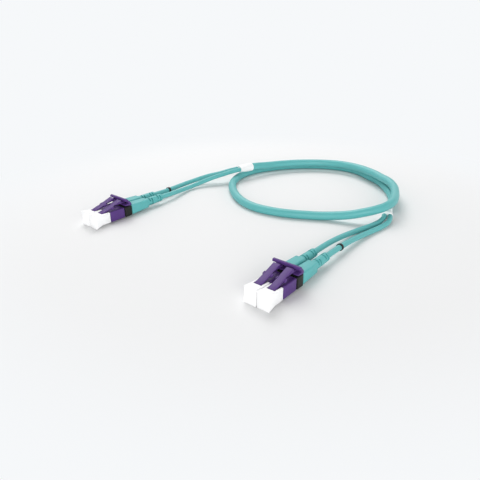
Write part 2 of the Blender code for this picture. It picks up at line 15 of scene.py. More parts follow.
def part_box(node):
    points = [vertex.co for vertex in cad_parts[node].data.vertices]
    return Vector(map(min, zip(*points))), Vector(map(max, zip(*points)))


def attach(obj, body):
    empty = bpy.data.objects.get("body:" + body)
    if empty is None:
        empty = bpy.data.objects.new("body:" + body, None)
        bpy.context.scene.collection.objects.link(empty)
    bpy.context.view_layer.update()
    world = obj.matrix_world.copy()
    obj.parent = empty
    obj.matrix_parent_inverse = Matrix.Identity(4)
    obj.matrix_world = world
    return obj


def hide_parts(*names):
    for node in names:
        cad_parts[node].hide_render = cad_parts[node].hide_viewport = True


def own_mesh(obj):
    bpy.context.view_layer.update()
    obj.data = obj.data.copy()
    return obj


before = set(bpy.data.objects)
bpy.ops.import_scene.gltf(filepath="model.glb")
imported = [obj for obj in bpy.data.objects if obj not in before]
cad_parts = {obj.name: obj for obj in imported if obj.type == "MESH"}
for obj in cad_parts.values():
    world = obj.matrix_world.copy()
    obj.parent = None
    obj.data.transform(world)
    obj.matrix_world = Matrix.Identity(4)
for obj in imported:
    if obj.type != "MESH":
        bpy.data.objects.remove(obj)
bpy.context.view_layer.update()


# ---------------------------------------------------------------- ferrules and crimps
# A zirconia ferrule is pressed into a metal flange, and the coated fiber enters the flange from
# behind. A crimp body closes the housing behind them, and a crimp sleeve holds the cord's jacket.
# Only the ferrule's end shows, when a cap is off.

MM = 0.001  # pieces are drawn in millimetres, and the scene is in metres
CONNECTORS = ("a1", "a2", "b1", "b2")


class Signal:
    """A value in a material's nodes. Arithmetic on it adds the node that does it."""

    def __init__(self, finish, socket):
        self.finish = finish
        self.socket = socket

    def math(self, operation, first, second):
        return self.finish.node("ShaderNodeMath", {"operation": operation}, {0: first, 1: second})

    def __add__(self, other):
        return self.math("ADD", self, other)

    def __radd__(self, other):
        return self.math("ADD", other, self)

    def __mul__(self, other):
        return self.math("MULTIPLY", self, other)

    def __rmul__(self, other):
        return self.math("MULTIPLY", other, self)


class Finish:
    """A material while its nodes are being laid out."""

    def __init__(self, name):
        self.material = bpy.data.materials.new(name)
        self.material.use_nodes = True
        self.tree = self.material.node_tree
        self.shader = self.tree.nodes["Principled BSDF"]

    def node(self, kind, settings=None, values=None, output=0):
        """Adds a node: its settings first, then the values or links of its sockets."""
        made = self.tree.nodes.new(kind)
        for name, value in (settings or {}).items():
            setattr(made, name, value)
        for name, value in (values or {}).items():
            self.put(made.inputs[name], value)
        return Signal(self, made.outputs[output])

    def put(self, socket, value):
        """Links a signal to a socket, or sets the socket to a plain value."""
        if isinstance(value, Signal):
            self.tree.links.new(value.socket, socket)
        else:
            socket.default_value = value

    def set(self, **values):
        """Sets or links the shader's sockets, named in lower case with underscores."""
        for name, value in values.items():
            socket = name.replace("_", " ").title().replace("Ior", "IOR")
            self.put(self.shader.inputs[socket], value)

    def place(self):
        """Where a point is on its object, in metres."""
        return self.node("ShaderNodeTexCoord", output="Object")

    def noise(self, size, detail=2.0):
        """Soft noise from 0 to 1 whose blotches are about size across."""
        return self.node("ShaderNodeTexNoise", None,
                         {"Vector": self.place(), "Scale": 1 / size, "Detail": detail})

    def between(self, low, high, signal):
        """A number that goes from low to high with a signal that goes from 0 to 1."""
        return signal * (high - low) + low

    def tint(self, first, second, signal):
        """A colour that goes from the first to the second with a signal."""
        # The Mix node's colours are its sockets 6 and 7, and its output 2.
        return self.node("ShaderNodeMix", {"data_type": "RGBA"},
                         {0: signal, 6: (*first, 1.0), 7: (*second, 1.0)}, output=2)

    def grain(self, size, depth, strength=1.0):
        """A bump of fine grain, size across and depth deep."""
        return self.node("ShaderNodeBump", None, {"Height": self.noise(size, 3.0),
                                                  "Distance": depth, "Strength": strength})


def ground_metal(name, colour, roughness, scratch_size):
    """Turned or drawn metal, with fine tool marks round it."""
    finish = Finish(name)
    marks = finish.noise(scratch_size, 4.0)
    in_marks = tuple(0.8 * c for c in colour)
    finish.set(base_color=finish.tint(in_marks, colour, marks), metallic=1.0,
               roughness=finish.between(roughness - 0.08, roughness + 0.08, marks),
               normal=finish.grain(scratch_size, 0.01 * MM))
    return finish.material


def polished_zirconia():
    """Ceramic, polished to a wet gloss, with a faint warm mottle."""
    finish = Finish("polished_zirconia")
    mottle = finish.noise(0.6 * MM)
    finish.set(base_color=finish.tint((0.84, 0.8, 0.74), (0.92, 0.9, 0.87), mottle),
               roughness=finish.between(0.08, 0.16, mottle), coat_weight=0.4, coat_roughness=0.05)
    return finish.material


def coated_fiber():
    """The fiber's white buffer, drawn smooth."""
    finish = Finish("coated_fiber")
    streaks = finish.noise(0.4 * MM)
    finish.set(base_color=finish.tint((0.8, 0.8, 0.76), (0.9, 0.9, 0.86), streaks),
               roughness=finish.between(0.4, 0.55, streaks),
               normal=finish.grain(0.1 * MM, 0.004 * MM))
    return finish.material


def dress(nodes, material):
    """Gives solids that stay as they are their finish."""
    for node in nodes:
        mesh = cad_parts[node].data
        mesh.materials.clear()
        mesh.materials.append(material)


dress([f"{c}_ferrule" for c in CONNECTORS], polished_zirconia())
dress([f"{c}_fiber" for c in CONNECTORS], coated_fiber())
nickel = ground_metal("bright_nickel", (0.72, 0.7, 0.66), roughness=0.28, scratch_size=0.15 * MM)
for part in ("ferrule_flange", "crimp_body", "crimp_sleeve"):
    dress([f"{c}_{part}" for c in CONNECTORS], nickel)


# ---------------------------------------------------------------- housings
# The purple body of a connector: a square nose with the ferrule's well, and a wider body behind
# it with a shallow groove on top that the latch arm sinks into. Moulded in one piece, in stiff
# plastic. Places along a connector count from the front of its cap.

AXIS_Z = 3.9
NOSE = {"front": 3.2, "width": 4.52, "edge": 0.3}
BODY = {"front": 9.4, "end": 18.4, "width": 5.8, "height": 5.5, "edge": 0.35}
WELL = {"radius": 1.3, "seat": 7.0, "chamber": 1.65}
GROOVE = {"width": 3.9, "depth": 0.5, "end": 17.9}
SMALL_EDGE = 0.12
BORE_SIDES = 40
OVERLAP = 1  # how far a cutter stands out of a piece, or a joined part reaches into it
PURPLE = (0.094, 0.041, 0.2)
MOULD_GRAIN = {"size": 0.12 * MM, "depth": 0.006 * MM}
FLOW_MARK_SIZE = 2.5 * MM

# Each connector's middle, and the front of its cap, in metres.
SPOT = {}
for c in CONNECTORS:
    low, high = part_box(f"{c}_dust_cap")
    SPOT[c] = Vector(((low.x + high.x) / 2, low.y, 0.0))


def scratch_object(mesh):
    """A passing object that modifiers can work on."""
    obj = bpy.data.objects.new("scratch", mesh)
    bpy.context.scene.collection.objects.link(obj)
    return obj


def settled(obj):
    """The mesh of a passing object after its modifiers. The object goes."""
    bpy.context.view_layer.update()
    evaluated = obj.evaluated_get(bpy.context.evaluated_depsgraph_get())
    mesh = bpy.data.meshes.new_from_object(evaluated)
    bpy.data.objects.remove(obj, do_unlink=True)
    return mesh


def finished_bmesh(bm):
    """A mesh from a bmesh, with its faces turned outwards. The bmesh goes."""
    bmesh.ops.recalc_face_normals(bm, faces=bm.faces)
    mesh = bpy.data.meshes.new("piece")
    bm.to_mesh(mesh)
    bm.free()
    return mesh


def brick(x, y, z):
    """A box between three pairs of limits."""
    bm = bmesh.new()
    corners = [bm.verts.new((i, j, k)) for i in x for j in y for k in z]
    for face in ((0, 1, 3, 2), (4, 6, 7, 5), (0, 4, 5, 1), (2, 3, 7, 6), (0, 2, 6, 4),
                 (1, 5, 7, 3)):
        bm.faces.new([corners[i] for i in face])
    return finished_bmesh(bm)


def plate(outline, width, middle=0.0):
    """A plate from a side outline of (y, z) points, width wide across x."""
    bm = bmesh.new()
    sides = [[bm.verts.new((middle + side * width / 2, y, z)) for y, z in outline]
             for side in (-1, 1)]
    bm.faces.new(sides[0])
    bm.faces.new(sides[1][::-1])
    for i in range(len(outline)):
        j = (i + 1) % len(outline)
        bm.faces.new((sides[0][i], sides[1][i], sides[1][j], sides[0][j]))
    return finished_bmesh(bm)


def round_turns(steps):
    """Even angles once round."""
    return [2 * math.pi * i / steps for i in range(steps)]


def revolved(outline, steps, x=0.0, z=0.0):
    """A piece turned about a line along y, from (radius, y) points.

    Radius 0 closes an end. An outline that doesn't start at radius 0 is joined up into a ring.
    """
    bm = bmesh.new()
    rings = []
    for radius, y in outline:
        if radius == 0:
            rings.append([bm.verts.new((x, y, z))])
        else:
            rings.append([bm.verts.new((x + radius * math.cos(t), y, z + radius * math.sin(t)))
                          for t in round_turns(steps)])
    pairs = list(zip(rings, rings[1:]))
    if len(rings[0]) > 1:
        pairs.append((rings[-1], rings[0]))
    for first, second in pairs:
        for i in range(steps):
            corners = [first[i % len(first)], first[(i + 1) % len(first)],
                       second[(i + 1) % len(second)], second[i % len(second)]]
            bm.faces.new(list(dict.fromkeys(corners)))
    return finished_bmesh(bm)


def rounded(mesh, width, segments=3, sharper_than=30):
    """The mesh with its edges sharper than an angle rounded off."""
    obj = scratch_object(mesh)
    bevel = obj.modifiers.new("edges", "BEVEL")
    bevel.width = width
    bevel.segments = segments
    bevel.angle_limit = math.radians(sharper_than)
    return settled(obj)


def carved(mesh, others, operation="DIFFERENCE"):
    """The mesh cut by others, or joined with them."""
    obj = scratch_object(mesh)
    tools = [scratch_object(other) for other in others]
    for tool in tools:
        step = obj.modifiers.new("step", "BOOLEAN")
        step.operation = operation
        step.object = tool
    result = settled(obj)
    for tool in tools:
        bpy.data.objects.remove(tool, do_unlink=True)
    return result


def smoothed(mesh, angle=30):
    """The mesh turned into metres, smooth except at edges sharper than an angle."""
    mesh.transform(Matrix.Scale(MM, 4))
    mesh.shade_smooth()
    mesh.set_sharp_from_angle(angle=math.radians(angle))
    return mesh


def fitted(name, mesh, material, spot, body, nodes):
    """A piece in its place, which rides on a body and stands for CAD nodes."""
    obj = bpy.data.objects.new(name, mesh)
    bpy.context.scene.collection.objects.link(obj)
    obj.location = spot
    mesh.materials.clear()
    mesh.materials.append(material)
    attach(obj, body)
    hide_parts(*nodes)
    return obj


def moulded(name, colour, roughness, variation=0.1, shine=0.4):
    """Moulded plastic: faint flow marks in its colour, and the mould's fine spark-eroded grain."""
    finish = Finish(name)
    flow = finish.noise(FLOW_MARK_SIZE, 3.0)
    fine = finish.noise(MOULD_GRAIN["size"] * 2, 2.0)
    shade = flow * 0.75 + fine * 0.25
    finish.set(base_color=finish.tint(tuple(c * (1 - variation) for c in colour),
                                      tuple(c * (1 + variation) for c in colour), shade),
               roughness=finish.between(roughness - 0.07, roughness + 0.07, shade),
               specular_ior_level=shine,
               normal=finish.grain(MOULD_GRAIN["size"], MOULD_GRAIN["depth"]))
    return finish.material


purple_plastic = moulded("purple_moulding", PURPLE, roughness=0.42, shine=0.2)


def housing_shape():
    """The nose and the body in one, bored through, with the groove for the arm."""
    half_nose = NOSE["width"] / 2
    half_body = BODY["width"] / 2
    top = AXIS_Z + BODY["height"] / 2
    nose = brick((-half_nose, half_nose), (NOSE["front"], BODY["front"] + OVERLAP),
                 (AXIS_Z - half_nose, AXIS_Z + half_nose))
    body = brick((-half_body, half_body), (BODY["front"], BODY["end"]),
                 (AXIS_Z - BODY["height"] / 2, top))
    whole = carved(rounded(body, BODY["edge"]), [rounded(nose, NOSE["edge"])], "UNION")
    front, rear = NOSE["front"] - OVERLAP, BODY["end"] + OVERLAP
    bore = revolved([(0, rear), (WELL["chamber"], rear), (WELL["chamber"], WELL["seat"]),
                     (WELL["radius"], WELL["seat"]), (WELL["radius"], front), (0, front)],
                    BORE_SIDES, z=AXIS_Z)
    groove = brick((-GROOVE["width"] / 2, GROOVE["width"] / 2),
                   (BODY["front"] - OVERLAP, GROOVE["end"]), (top - GROOVE["depth"], top + OVERLAP))
    return smoothed(carved(whole, [bore, rounded(groove, SMALL_EDGE, segments=2)]))


mesh = housing_shape()
for c in CONNECTORS:
    fitted(f"housing_{c}", mesh.copy(), purple_plastic, SPOT[c], "cord", [f"{c}_housing"])


# ---------------------------------------------------------------- springs
# A coil of steel wire in each housing's chamber, between the ferrule's flange and the crimp body.
# The real one shortens against the crimp body as the ferrule is pushed in; this one keeps its
# length.

SPRING = {"front": 9.0, "rear": 14.1, "radius": 1.25, "wire": 0.35, "curls": 6, "clear": 0.05}
CURL_STEPS = 24
WIRE_SIDES = 10


def spring_shape():
    """The wire, wound with an even pitch."""
    start = SPRING["front"] + SPRING["wire"] / 2 + SPRING["clear"]
    run = SPRING["rear"] - SPRING["wire"] / 2 - SPRING["clear"] - start
    steps = CURL_STEPS * SPRING["curls"]
    back = Vector((0.0, 1.0, 0.0))
    bm = bmesh.new()
    rings = []
    for i in range(steps + 1):
        turn = 2 * math.pi * SPRING["curls"] * i / steps
        out = Vector((math.cos(turn), 0.0, math.sin(turn)))
        middle = SPRING["radius"] * out + Vector((0.0, start + run * i / steps, AXIS_Z))
        rings.append([bm.verts.new(middle + SPRING["wire"] / 2
                                   * (math.cos(t) * out + math.sin(t) * back))
                      for t in round_turns(WIRE_SIDES)])
    for first, second in zip(rings, rings[1:]):
        for k in range(WIRE_SIDES):
            n = (k + 1) % WIRE_SIDES
            bm.faces.new((first[k], first[n], second[n], second[k]))
    bm.faces.new(rings[0])
    bm.faces.new(rings[-1])
    return smoothed(finished_bmesh(bm), angle=40)


spring_wire = ground_metal("spring_wire", (0.6, 0.6, 0.6), roughness=0.3, scratch_size=0.08 * MM)
mesh = spring_shape()
for c in CONNECTORS:
    spring = fitted(f"spring_{c}", mesh.copy(), spring_wire, SPOT[c], "cord", [f"{c}_spring"])
    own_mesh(spring)


# ---------------------------------------------------------------- latch arms
# A springy arm that rises from the nose over the body. Its two shoulders catch in an adapter, and
# its end is a thin tongue that lies under the trigger's bar. Same purple moulding.

ARM_WIDTH = 3.2
ARM_OUTLINE = [(4.9, 6.38), (4.9, 6.95), (8.0, 7.75), (11.2, 8.5), (14.0, 9.5), (16.0, 10.15),
               (17.6, 10.65), (17.8, 10.5), (17.8, 9.55), (19.8, 9.5), (19.95, 9.2), (19.8, 8.95),
               (16.6, 9.0), (14.0, 8.85), (11.2, 7.85), (8.0, 7.1), (6.6, 6.72), (6.0, 6.38)]
SHOULDER_WIDTH = 4.6
SHOULDER_OUTLINE = [(11.0, 7.55), (11.0, 8.35), (12.3, 8.8), (12.3, 7.95)]


def arm_shape():
    """The arm and its shoulders, with soft edges."""
    arm = plate(ARM_OUTLINE, ARM_WIDTH)
    shoulders = plate(SHOULDER_OUTLINE, SHOULDER_WIDTH)
    whole = rounded(carved(arm, [shoulders], "UNION"), SMALL_EDGE, segments=2, sharper_than=35)
    return smoothed(whole, angle=35)


mesh = arm_shape()
for c in CONNECTORS:
    fitted(f"latch_arm_{c}", mesh.copy(), purple_plastic, SPOT[c], f"{c}_latch_arm", [f"{c}_latch"])


# ---------------------------------------------------------------- cable
# One round trunk of 4.7 mm splits at each end into two 2.7 mm legs. All have the same extruded
# aqua jacket. The trunk makes one turn and a half, with its first stretch laid over its second.

TRUNK_DIAMETER = 4.7
LEG_DIAMETER = 2.7
TRUNK_SIDES = 28
LEG_SIDES = 20
TRUNK_STEP = 0.3 * TRUNK_DIAMETER
LEG_STEP = 0.4 * LEG_DIAMETER
KNOT_STEPS = 40  # points worked out between two of a route's own
BROKEN_EDGE = 0.12  # how far a cut end's edge is broken, as a share of the radius
CHART_LENGTH = 10  # of cable, to one unit of its map
STREAKS = (1.2, 14.0, 1.0)  # per unit of the map along the cable, and per turn round it
AQUA = (0.108, 0.445, 0.445)
TRUNK_ROUTE = [
    (-42.82, 99.08, 7.35), (-41.7, 103.65, 6.96), (-39.71, 110.18, 6.3), (-36.84, 116.95, 5.9),
    (-32.99, 123.46, 5.75), (-28.19, 129.64, 5.69), (-22.68, 135.28, 5.64),
    (-16.6, 140.13, 5.63), (-10.05, 143.85, 5.74), (-2.48, 146.1, 6.01), (5.71, 146.2, 6.34),
    (14.24, 143.99, 6.74), (22.56, 139.94, 7.18), (30.11, 135.19, 7.52), (36.44, 130.77, 7.58),
    (42.02, 126.46, 7.85), (46.6, 121.68, 7.86), (50.47, 116.09, 7.8), (53.32, 110.29, 7.71),
    (55.88, 104.21, 7.79), (57.98, 97.98, 7.98), (59.4, 92.1, 8.15), (59.6, 86.5, 8.2),
    (58.6, 80.9, 8), (56, 76, 7.4), (52.3, 72.3, 6.4), (46, 68.7, 4.6), (38.7, 65.7, 3.2),
    (31.6, 62.2, 2.4), (25, 58.5, 2.36), (18.1, 55, 2.36), (10.9, 52.4, 2.36), (3.7, 50.9, 2.36),
    (-4.2, 50.7, 2.36), (-12.2, 52.6, 2.36), (-20, 56.5, 2.36), (-28, 62.3, 2.36),
    (-34.9, 68.9, 2.36), (-40, 75.3, 2.36), (-43.4, 81.8, 2.36), (-45.6, 88.6, 2.36),
    (-46.7, 96.5, 2.36), (-46.2, 105.1, 2.36), (-43.9, 113, 2.36), (-40.4, 120.2, 2.36),
    (-36.2, 127, 2.36), (-31.3, 133.2, 2.36), (-26, 138.5, 2.36), (-20.1, 143.3, 2.36),
    (-13.3, 147.5, 2.36), (-5.6, 150.4, 2.36), (2.3, 151.5, 2.36), (9.8, 150.2, 2.36),
    (16.6, 147.3, 2.36), (22.6, 143.6, 2.36), (29.3, 139.8, 2.36), (35.6, 134.4, 2.36),
    (41.4, 127.9, 2.36), (46.6, 120.8, 2.36), (51.1, 113.2, 2.36), (53.5, 106.3, 2.36),
    (54.7, 100.0, 2.45), (56.1, 94.79, 2.65),
]
LEG_ROUTES = {
    "a_leg_1": [(-59.625, 4.1, 3.9), (-59.625, 14.2, 3.9), (-59.625, 27.4, 3.9), (-60, 35.2, 3.5),
                (-61.3, 45.3, 3.05), (-62.4, 55.2, 2.75), (-61.2, 64.0, 3.35),
                (-57.1, 71.4, 4.95), (-52.02, 77.19, 6.36), (-49, 82.64, 7.41),
                (-47.14, 88.75, 7.64)],
    "a_leg_2": [(-53.375, 4.1, 3.9), (-53.375, 14.2, 3.9), (-53.375, 27.4, 3.9), (-53.8, 35.2, 3.5),
                (-55.93, 45.7, 2.45), (-56.9, 54.81, 2.09), (-55.56, 62.73, 3.09),
                (-52.2, 70, 4.96), (-48.49, 76.49, 6.46), (-45.95, 81.86, 7.42),
                (-44.24, 87.97, 7.64)],
    "b_leg_1": [(53.375, -1.3, 3.9), (53.375, 9.2, 3.9), (53.375, 21.6, 3.9), (53.4, 28.7, 3.75),
                (53.5, 37.2, 3.3), (54.0, 46.2, 2.6), (55.1, 55.2, 1.9), (56.9, 64.2, 1.45),
                (58.6, 71.5, 1.4), (59.7, 77.2, 1.8), (59.7, 81.2, 2.4), (58.97, 83.97, 2.65)],
    "b_leg_2": [(59.625, -1.3, 3.9), (59.625, 9.2, 3.9), (59.625, 21.6, 3.9), (59.6, 28.7, 3.75),
                (59.6, 37.2, 3.3), (59.8, 46.2, 2.6), (60.5, 55.2, 1.9), (61.7, 64.2, 1.45),
                (63.0, 72.2, 1.4), (63.5, 78.4, 1.8), (62.8, 82.2, 2.4), (61.65, 85.07, 2.65)],
}


def smooth_route(points, spacing):
    """Even points along a smooth curve through a route's own points, and the curve's length."""
    knots = np.array(points, dtype=float)
    gaps = np.linalg.norm(np.diff(knots, axis=0), axis=1)
    along = np.concatenate([[0.0], np.cumsum(gaps)])
    slopes = np.gradient(knots, along, axis=0)
    fine = []
    for i, gap in enumerate(gaps):
        t = np.linspace(0.0, 1.0, KNOT_STEPS, endpoint=False)[:, None]
        fine.append((2 * t**3 - 3 * t**2 + 1) * knots[i] + (t**3 - 2 * t**2 + t) * gap * slopes[i]
                    + (3 * t**2 - 2 * t**3) * knots[i + 1] + (t**3 - t**2) * gap * slopes[i + 1])
    fine = np.concatenate(fine + [knots[-1:]])
    run = np.concatenate([[0.0], np.cumsum(np.linalg.norm(np.diff(fine, axis=0), axis=1))])
    stops = np.linspace(0.0, run[-1], round(run[-1] / spacing) + 1)
    even = np.stack([np.interp(stops, run, fine[:, axis]) for axis in range(3)], axis=1)
    return even, run[-1]


def jacket_tube(path, radius, sides):
    """A tube along a path in millimetres, with softly broken end edges and a map of its run."""
    ways = np.gradient(path, axis=0)
    ways /= np.linalg.norm(ways, axis=1)[:, None]
    rim = BROKEN_EDGE * radius
    stations = [(path[0], ways[0], radius - rim), (path[0] + rim * ways[0], ways[0], radius)]
    stations += [(point, way, radius) for point, way in zip(path[1:-1], ways[1:-1])]
    stations += [(path[-1] - rim * ways[-1], ways[-1], radius), (path[-1], ways[-1], radius - rim)]
    bm = bmesh.new()
    chart = bm.loops.layers.uv.new("run")
    side = Vector((0.0, 0.0, 1.0)).cross(Vector(ways[0])).normalized()
    rings = []
    run = [0.0]
    for i, (point, way, size) in enumerate(stations):
        way = Vector(way)
        side = (side - side.dot(way) * way).normalized()
        up = way.cross(side)
        rings.append([bm.verts.new(Vector(point) + size * (math.cos(t) * side + math.sin(t) * up))
                      for t in round_turns(sides)])
        if i:
            run.append(run[-1] + float(np.linalg.norm(point - stations[i - 1][0])))
    for i in range(len(rings) - 1):
        for k in range(sides):
            n = (k + 1) % sides
            face = bm.faces.new((rings[i][k], rings[i][n], rings[i + 1][n], rings[i + 1][k]))
            corners = ((run[i], k), (run[i], k + 1), (run[i + 1], k + 1), (run[i + 1], k))
            for loop, (far, turn) in zip(face.loops, corners):
                loop[chart].uv = (far / CHART_LENGTH, turn / sides)
    bm.faces.new(rings[0])
    bm.faces.new(rings[-1])
    return smoothed(finished_bmesh(bm), angle=40)


def extruded_jacket():
    """The jacket: one colour through and through, drawn out in faint streaks along the cable."""
    finish = Finish("aqua_jacket")
    chart = finish.node("ShaderNodeUVMap", {"uv_map": "run"})
    drawn_out = finish.node("ShaderNodeMapping", None, {"Vector": chart, "Scale": STREAKS})
    streaks = finish.node("ShaderNodeTexNoise", None,
                          {"Vector": drawn_out, "Scale": 1.0, "Detail": 2.0})
    cloud = finish.noise(6 * MM, 2.0)
    shade = streaks * 0.6 + cloud * 0.4
    finish.set(base_color=finish.tint(tuple(0.92 * c for c in AQUA),
                                      tuple(1.08 * c for c in AQUA), shade),
               roughness=finish.between(0.36, 0.5, shade),
               normal=finish.grain(0.18 * MM, 0.008 * MM))
    return finish.material


aqua_jacket = extruded_jacket()
trunk_path, trunk_length = smooth_route(TRUNK_ROUTE, TRUNK_STEP)
trunk = fitted("trunk_jacket", jacket_tube(trunk_path, TRUNK_DIAMETER / 2, TRUNK_SIDES),
               aqua_jacket, (0, 0, 0), "cord", ["trunk_cable"])

for name, route in LEG_ROUTES.items():
    path, length = smooth_route(route, LEG_STEP)
    leg = fitted(f"{name}_jacket", jacket_tube(path, LEG_DIAMETER / 2, LEG_SIDES), aqua_jacket,
                 (0, 0, 0), "cord", [name])


# ---------------------------------------------------------------- splitter sleeves
# A white sleeve shrunk over the place where two legs leave the trunk: round at the trunk's end and
# pressed flatter over the legs.

SLEEVES = {
    "a": {"end": (-45.61, 88.65, 7.64), "way": (0.258, 0.966, -0.026)},
    "b": {"end": (60.2, 84.8, 2.65), "way": (-0.38, 0.925, 0.0)},
}
SLEEVE_LENGTH = 10.5
SLEEVE_RADIUS = 2.65
SLEEVE_RIM = 0.35
RIM_TURNS = [turn * math.pi / 2 for turn in (0.0, 0.33, 0.66, 1.0)]
RIPPLE = {"depth": 0.05, "waves": 7, "first": 0.92, "last": 0.04, "points": 12}
PRESSED = {"height": 0.8, "width": 1.09}  # of the round sleeve's, where it holds the legs


def sleeve_shape():
    """The sleeve, with rounded rims and a faint ripple where it shrank."""
    rims = [(SLEEVE_RADIUS - SLEEVE_RIM * (1 - math.sin(angle)),
             SLEEVE_RIM * (1 - math.cos(angle))) for angle in RIM_TURNS]
    outline = [(0.0, SLEEVE_LENGTH)] + [(radius, SLEEVE_LENGTH - y) for radius, y in rims]
    for share in np.linspace(RIPPLE["first"], RIPPLE["last"], RIPPLE["points"]):
        ripple = RIPPLE["depth"] * (1 - math.cos(RIPPLE["waves"] * math.pi * share))
        outline.append((SLEEVE_RADIUS - ripple / 2,
                        SLEEVE_RIM + (SLEEVE_LENGTH - 2 * SLEEVE_RIM) * share))
    mesh = revolved(outline + rims[::-1] + [(0.0, 0.0)], BORE_SIDES)
    for vertex in mesh.vertices:
        pressed = max(0.0, 1 - 2 * vertex.co.y / SLEEVE_LENGTH)
        vertex.co.z *= 1 - (1 - PRESSED["height"]) * pressed
        vertex.co.x *= 1 + (PRESSED["width"] - 1) * pressed
    return smoothed(mesh)


def shrunk_sleeve():
    """White sleeve plastic, slightly uneven from the heat."""
    finish = Finish("shrunk_sleeve")
    cloud = finish.noise(1.8 * MM, 3.0)
    finish.set(base_color=finish.tint((0.92, 0.92, 0.92), (0.96, 0.96, 0.96), cloud),
               roughness=finish.between(0.4, 0.55, cloud),
               normal=finish.grain(0.9 * MM, 0.03 * MM, strength=0.6))
    return finish.material


white_sleeve = shrunk_sleeve()
mesh = sleeve_shape()
for plug, lie in SLEEVES.items():
    sleeve = fitted(f"splitter_sleeve_{plug}", mesh.copy(), white_sleeve, (0, 0, 0), "cord",
                    [f"{plug}_splitter_sleeve"])
    turn = Vector(lie["way"]).to_track_quat("Y", "Z").to_matrix().to_4x4()
    sleeve.data.transform(Matrix.Translation(Vector(lie["end"]) * MM) @ turn)


# ---------------------------------------------------------------- marker rings
# A black ring on one leg at each end shows which two connectors belong together. It is cut from
# soft tube and slid onto the leg.

RING_Y = 59.5
RING_LENGTH = 1.4
RING_RADIUS = 1.75
RING_BORE = 1.4
RING_EDGE = 0.15
RING_EDGE_POINTS = 4
RING_SIDES = 32
RING_ROUTE_STEP = 0.5
BLACK = (0.008, 0.009, 0.0085)


def ring_shape():
    """A short tube with rounded edges."""
    half = RING_LENGTH / 2
    corner = [(RING_RADIUS - RING_EDGE + math.sin(t) * RING_EDGE,
               half - RING_EDGE + math.cos(t) * RING_EDGE)
              for t in np.linspace(0, math.pi / 2, RING_EDGE_POINTS)]
    outline = corner + [(radius, -y) for radius, y in corner[::-1]]
    outline += [(RING_BORE, -half), (RING_BORE, half)]
    return smoothed(revolved(outline, RING_SIDES))


ring_plastic = moulded("ring_rubber", BLACK, roughness=0.5, variation=0.25)
mesh = ring_shape()
for plug, name in (("a", "a_leg_1"), ("b", "b_leg_2")):
    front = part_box(f"{plug}1_dust_cap")[0].y / MM
    fine, _ = smooth_route(LEG_ROUTES[name], RING_ROUTE_STEP)
    at = int(np.argmin(np.abs(fine[:, 1] - (front + RING_Y))))
    way = Vector(fine[at + 1] - fine[at - 1]).to_track_quat("Y", "Z").to_matrix().to_4x4()
    ring = fitted(f"marker_ring_{plug}", mesh.copy(), ring_plastic, (0, 0, 0), "cord",
                  [f"{plug}_marker_ring"])
    ring.data.transform(Matrix.Translation(Vector(fine[at]) * MM) @ way)


# ---------------------------------------------------------------- boots
# The aqua strain relief behind each connector: a square front that narrows, a step, and a round
# tail whose slots, cut crosswise in turn, let it bend. Soft plastic, pushed over the crimp.

BOOT_FRONT = 23.6
BOOT_STEP = 35.8
BOOT_END = 46.8
BOOT_FRONT_SIZE = 5.8
BOOT_STEP_SIZE = 5.0
BOOT_EDGE = 0.85
BOOT_BORE = 1.5
TAIL = {"root": 1.5, "thick": 2.3, "thin": 2.05, "rim": 0.3, "rim_middle": 0.09}
BOOT_SLOTS = (37.4, 39.0, 43.4, 45.1)
SLOT = {"width": 0.8, "bridge": 0.55, "reach": 3.0}
CAVITY = {"radius": 2.0, "end": 29.0}


def boot_shape():
    """The boot, bored for the leg and, at its front, for the crimp sleeve."""
    half = BOOT_FRONT_SIZE / 2
    block = brick((-half, half), (BOOT_FRONT, BOOT_STEP), (-half, half))
    for vertex in block.vertices:
        if vertex.co.y > (BOOT_FRONT + BOOT_STEP) / 2:
            vertex.co.x *= BOOT_STEP_SIZE / BOOT_FRONT_SIZE
            vertex.co.z *= BOOT_STEP_SIZE / BOOT_FRONT_SIZE
    block = rounded(block, BOOT_EDGE, segments=4)
    thin, rim, rim_middle = TAIL["thin"], TAIL["rim"], TAIL["rim_middle"]
    root = BOOT_STEP - TAIL["root"]
    outline = [(0.0, BOOT_END), (thin - rim, BOOT_END), (thin - rim_middle, BOOT_END - rim_middle),
               (thin, BOOT_END - rim), (TAIL["thick"], root), (0.0, root)]
    whole = carved(block, [revolved(outline, BORE_SIDES)], "UNION")
    front, rear = BOOT_FRONT - OVERLAP, BOOT_END + OVERLAP
    bore = revolved([(0, rear), (BOOT_BORE, rear), (BOOT_BORE, CAVITY["end"]),
                     (CAVITY["radius"], CAVITY["end"]), (CAVITY["radius"], front), (0, front)],
                    BORE_SIDES)
    slots = []
    for i, middle in enumerate(BOOT_SLOTS):
        along = (middle - SLOT["width"] / 2, middle + SLOT["width"] / 2)
        full = (-SLOT["reach"], SLOT["reach"])
        for part in ((-SLOT["reach"], -SLOT["bridge"]), (SLOT["bridge"], SLOT["reach"])):
            slots.append(brick(part, along, full) if i % 2 else brick(full, along, part))
    return smoothed(carved(whole, [bore] + slots))


aqua_boot = moulded("aqua_boot", AQUA, roughness=0.48, variation=0.06)
mesh = boot_shape()
for c in CONNECTORS:
    fitted(f"boot_{c}", mesh.copy(), aqua_boot, SPOT[c] + Vector((0, 0, AXIS_Z * MM)), "cord",
           [f"{c}_boot"])


# ---------------------------------------------------------------- duplex clips
# A black clip holds two connectors side by side, 6.25 mm apart, by their crimp bodies. Two knuckles
# on its top carry the trigger's pin. Moulded in stiff plastic.

CLIP = {"y": (18.7, 23.3), "width": 12.45, "z": (1.05, 6.65), "bore": 2.5, "edge": 0.5}
PITCH = 6.25
PIVOT = (22.4, 7.6)
PIN_RADIUS = 0.45
PIN_PLAY = 0.1
PIN_SIDES = 20
KNUCKLE = {"x": 3.0, "width": 1.2, "radius": 0.8, "root": 5.9, "points": 13}

